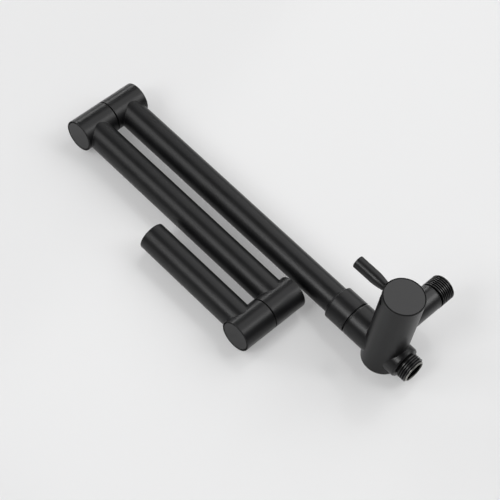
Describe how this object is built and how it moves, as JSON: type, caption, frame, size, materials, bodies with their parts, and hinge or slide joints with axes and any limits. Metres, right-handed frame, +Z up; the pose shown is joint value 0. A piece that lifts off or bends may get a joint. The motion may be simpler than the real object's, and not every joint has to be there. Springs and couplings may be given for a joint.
{
  "type": "wall mounted pot filler",
  "caption": "Wall mounted pot filler tap: upright valve body with a rod lever, a threaded wall inlet, a hose outlet and a folding arm of tubes on swivel joints.",
  "frame": {"origin": "centre of the wall inlet's end face, where it screws into the wall elbow", "axes": "+Y along the inlet into the wall, +Z up along the valve body, +X away from the folded arm"},
  "size_m": [0.328, 0.137, 0.0823],
  "materials": {
    "satin_black_coating": "satin",
    "brass": "satin",
    "steel": "satin",
    "rubber": "matte",
    "slip_ring": "matte",
    "moulded_plastic": "matte",
    "ceramic": "gloss"
  },
  "bodies": {
    "valve": {"valve_body": "satin_black_coating", "top_cap": "satin_black_coating", "inlet_nipple": "satin_black_coating", "outlet_nipple": "satin_black_coating", "arm_socket": "satin_black_coating", "arm_nut": "satin_black_coating", "base_seal": "rubber", "cartridge_base": "moulded_plastic", "fixed_disc": "ceramic", "cartridge_cover": "moulded_plastic", "cartridge_nut": "brass"},
    "lever": {"lever": "satin_black_coating", "lever_hub": "brass", "hub_screw": "steel", "spindle": "brass", "stem_oring": "rubber", "turning_disc": "ceramic"},
    "first_arm": {"swivel_spigot": "brass", "swivel_oring_inner": "rubber", "swivel_oring_outer": "rubber", "swivel_washer": "slip_ring", "first_arm_tube": "satin_black_coating", "elbow_rear_housing": "satin_black_coating", "elbow_rear_cap": "satin_black_coating"},
    "second_arm": {"elbow_front_housing": "satin_black_coating", "elbow_front_cap": "satin_black_coating", "elbow_spindle": "brass", "elbow_oring_inner": "rubber", "elbow_oring_outer": "rubber", "elbow_circlip": "steel", "elbow_washer": "slip_ring", "second_arm_tube": "satin_black_coating", "spout_joint_rear_housing": "satin_black_coating", "spout_joint_rear_cap": "satin_black_coating"},
    "spout": {"spout_joint_front_housing": "satin_black_coating", "spout_joint_front_cap": "satin_black_coating", "spout_joint_spindle": "brass", "spout_joint_oring_inner": "rubber", "spout_joint_oring_outer": "rubber", "spout_joint_circlip": "steel", "spout_joint_washer": "slip_ring", "spout_tube": "satin_black_coating", "aerator_ring": "brass", "aerator_washer": "rubber", "aerator_insert": "moulded_plastic"}
  },
  "joints": [
    {"name": "arm_swivel", "type": "hinge", "parent": "valve", "child": "first_arm", "pos_m": [-0.0333, -0.0573, -0.0232], "axis": [-1, 0, 0], "continuous": true},
    {"name": "elbow", "type": "hinge", "parent": "first_arm", "child": "second_arm", "pos_m": [-0.2857, -0.07397, -0.0232], "axis": [0, -1, 0], "continuous": true},
    {"name": "spout_joint", "type": "hinge", "parent": "second_arm", "child": "spout", "pos_m": [-0.0773, -0.10733, -0.0232], "axis": [0, 1, 0], "continuous": true},
    {"name": "lever_turn", "type": "hinge", "parent": "valve", "child": "lever", "pos_m": [0, -0.0573, 0.0376], "axis": [0, 0, 1], "range_deg": [-45, 45]}
  ]
}
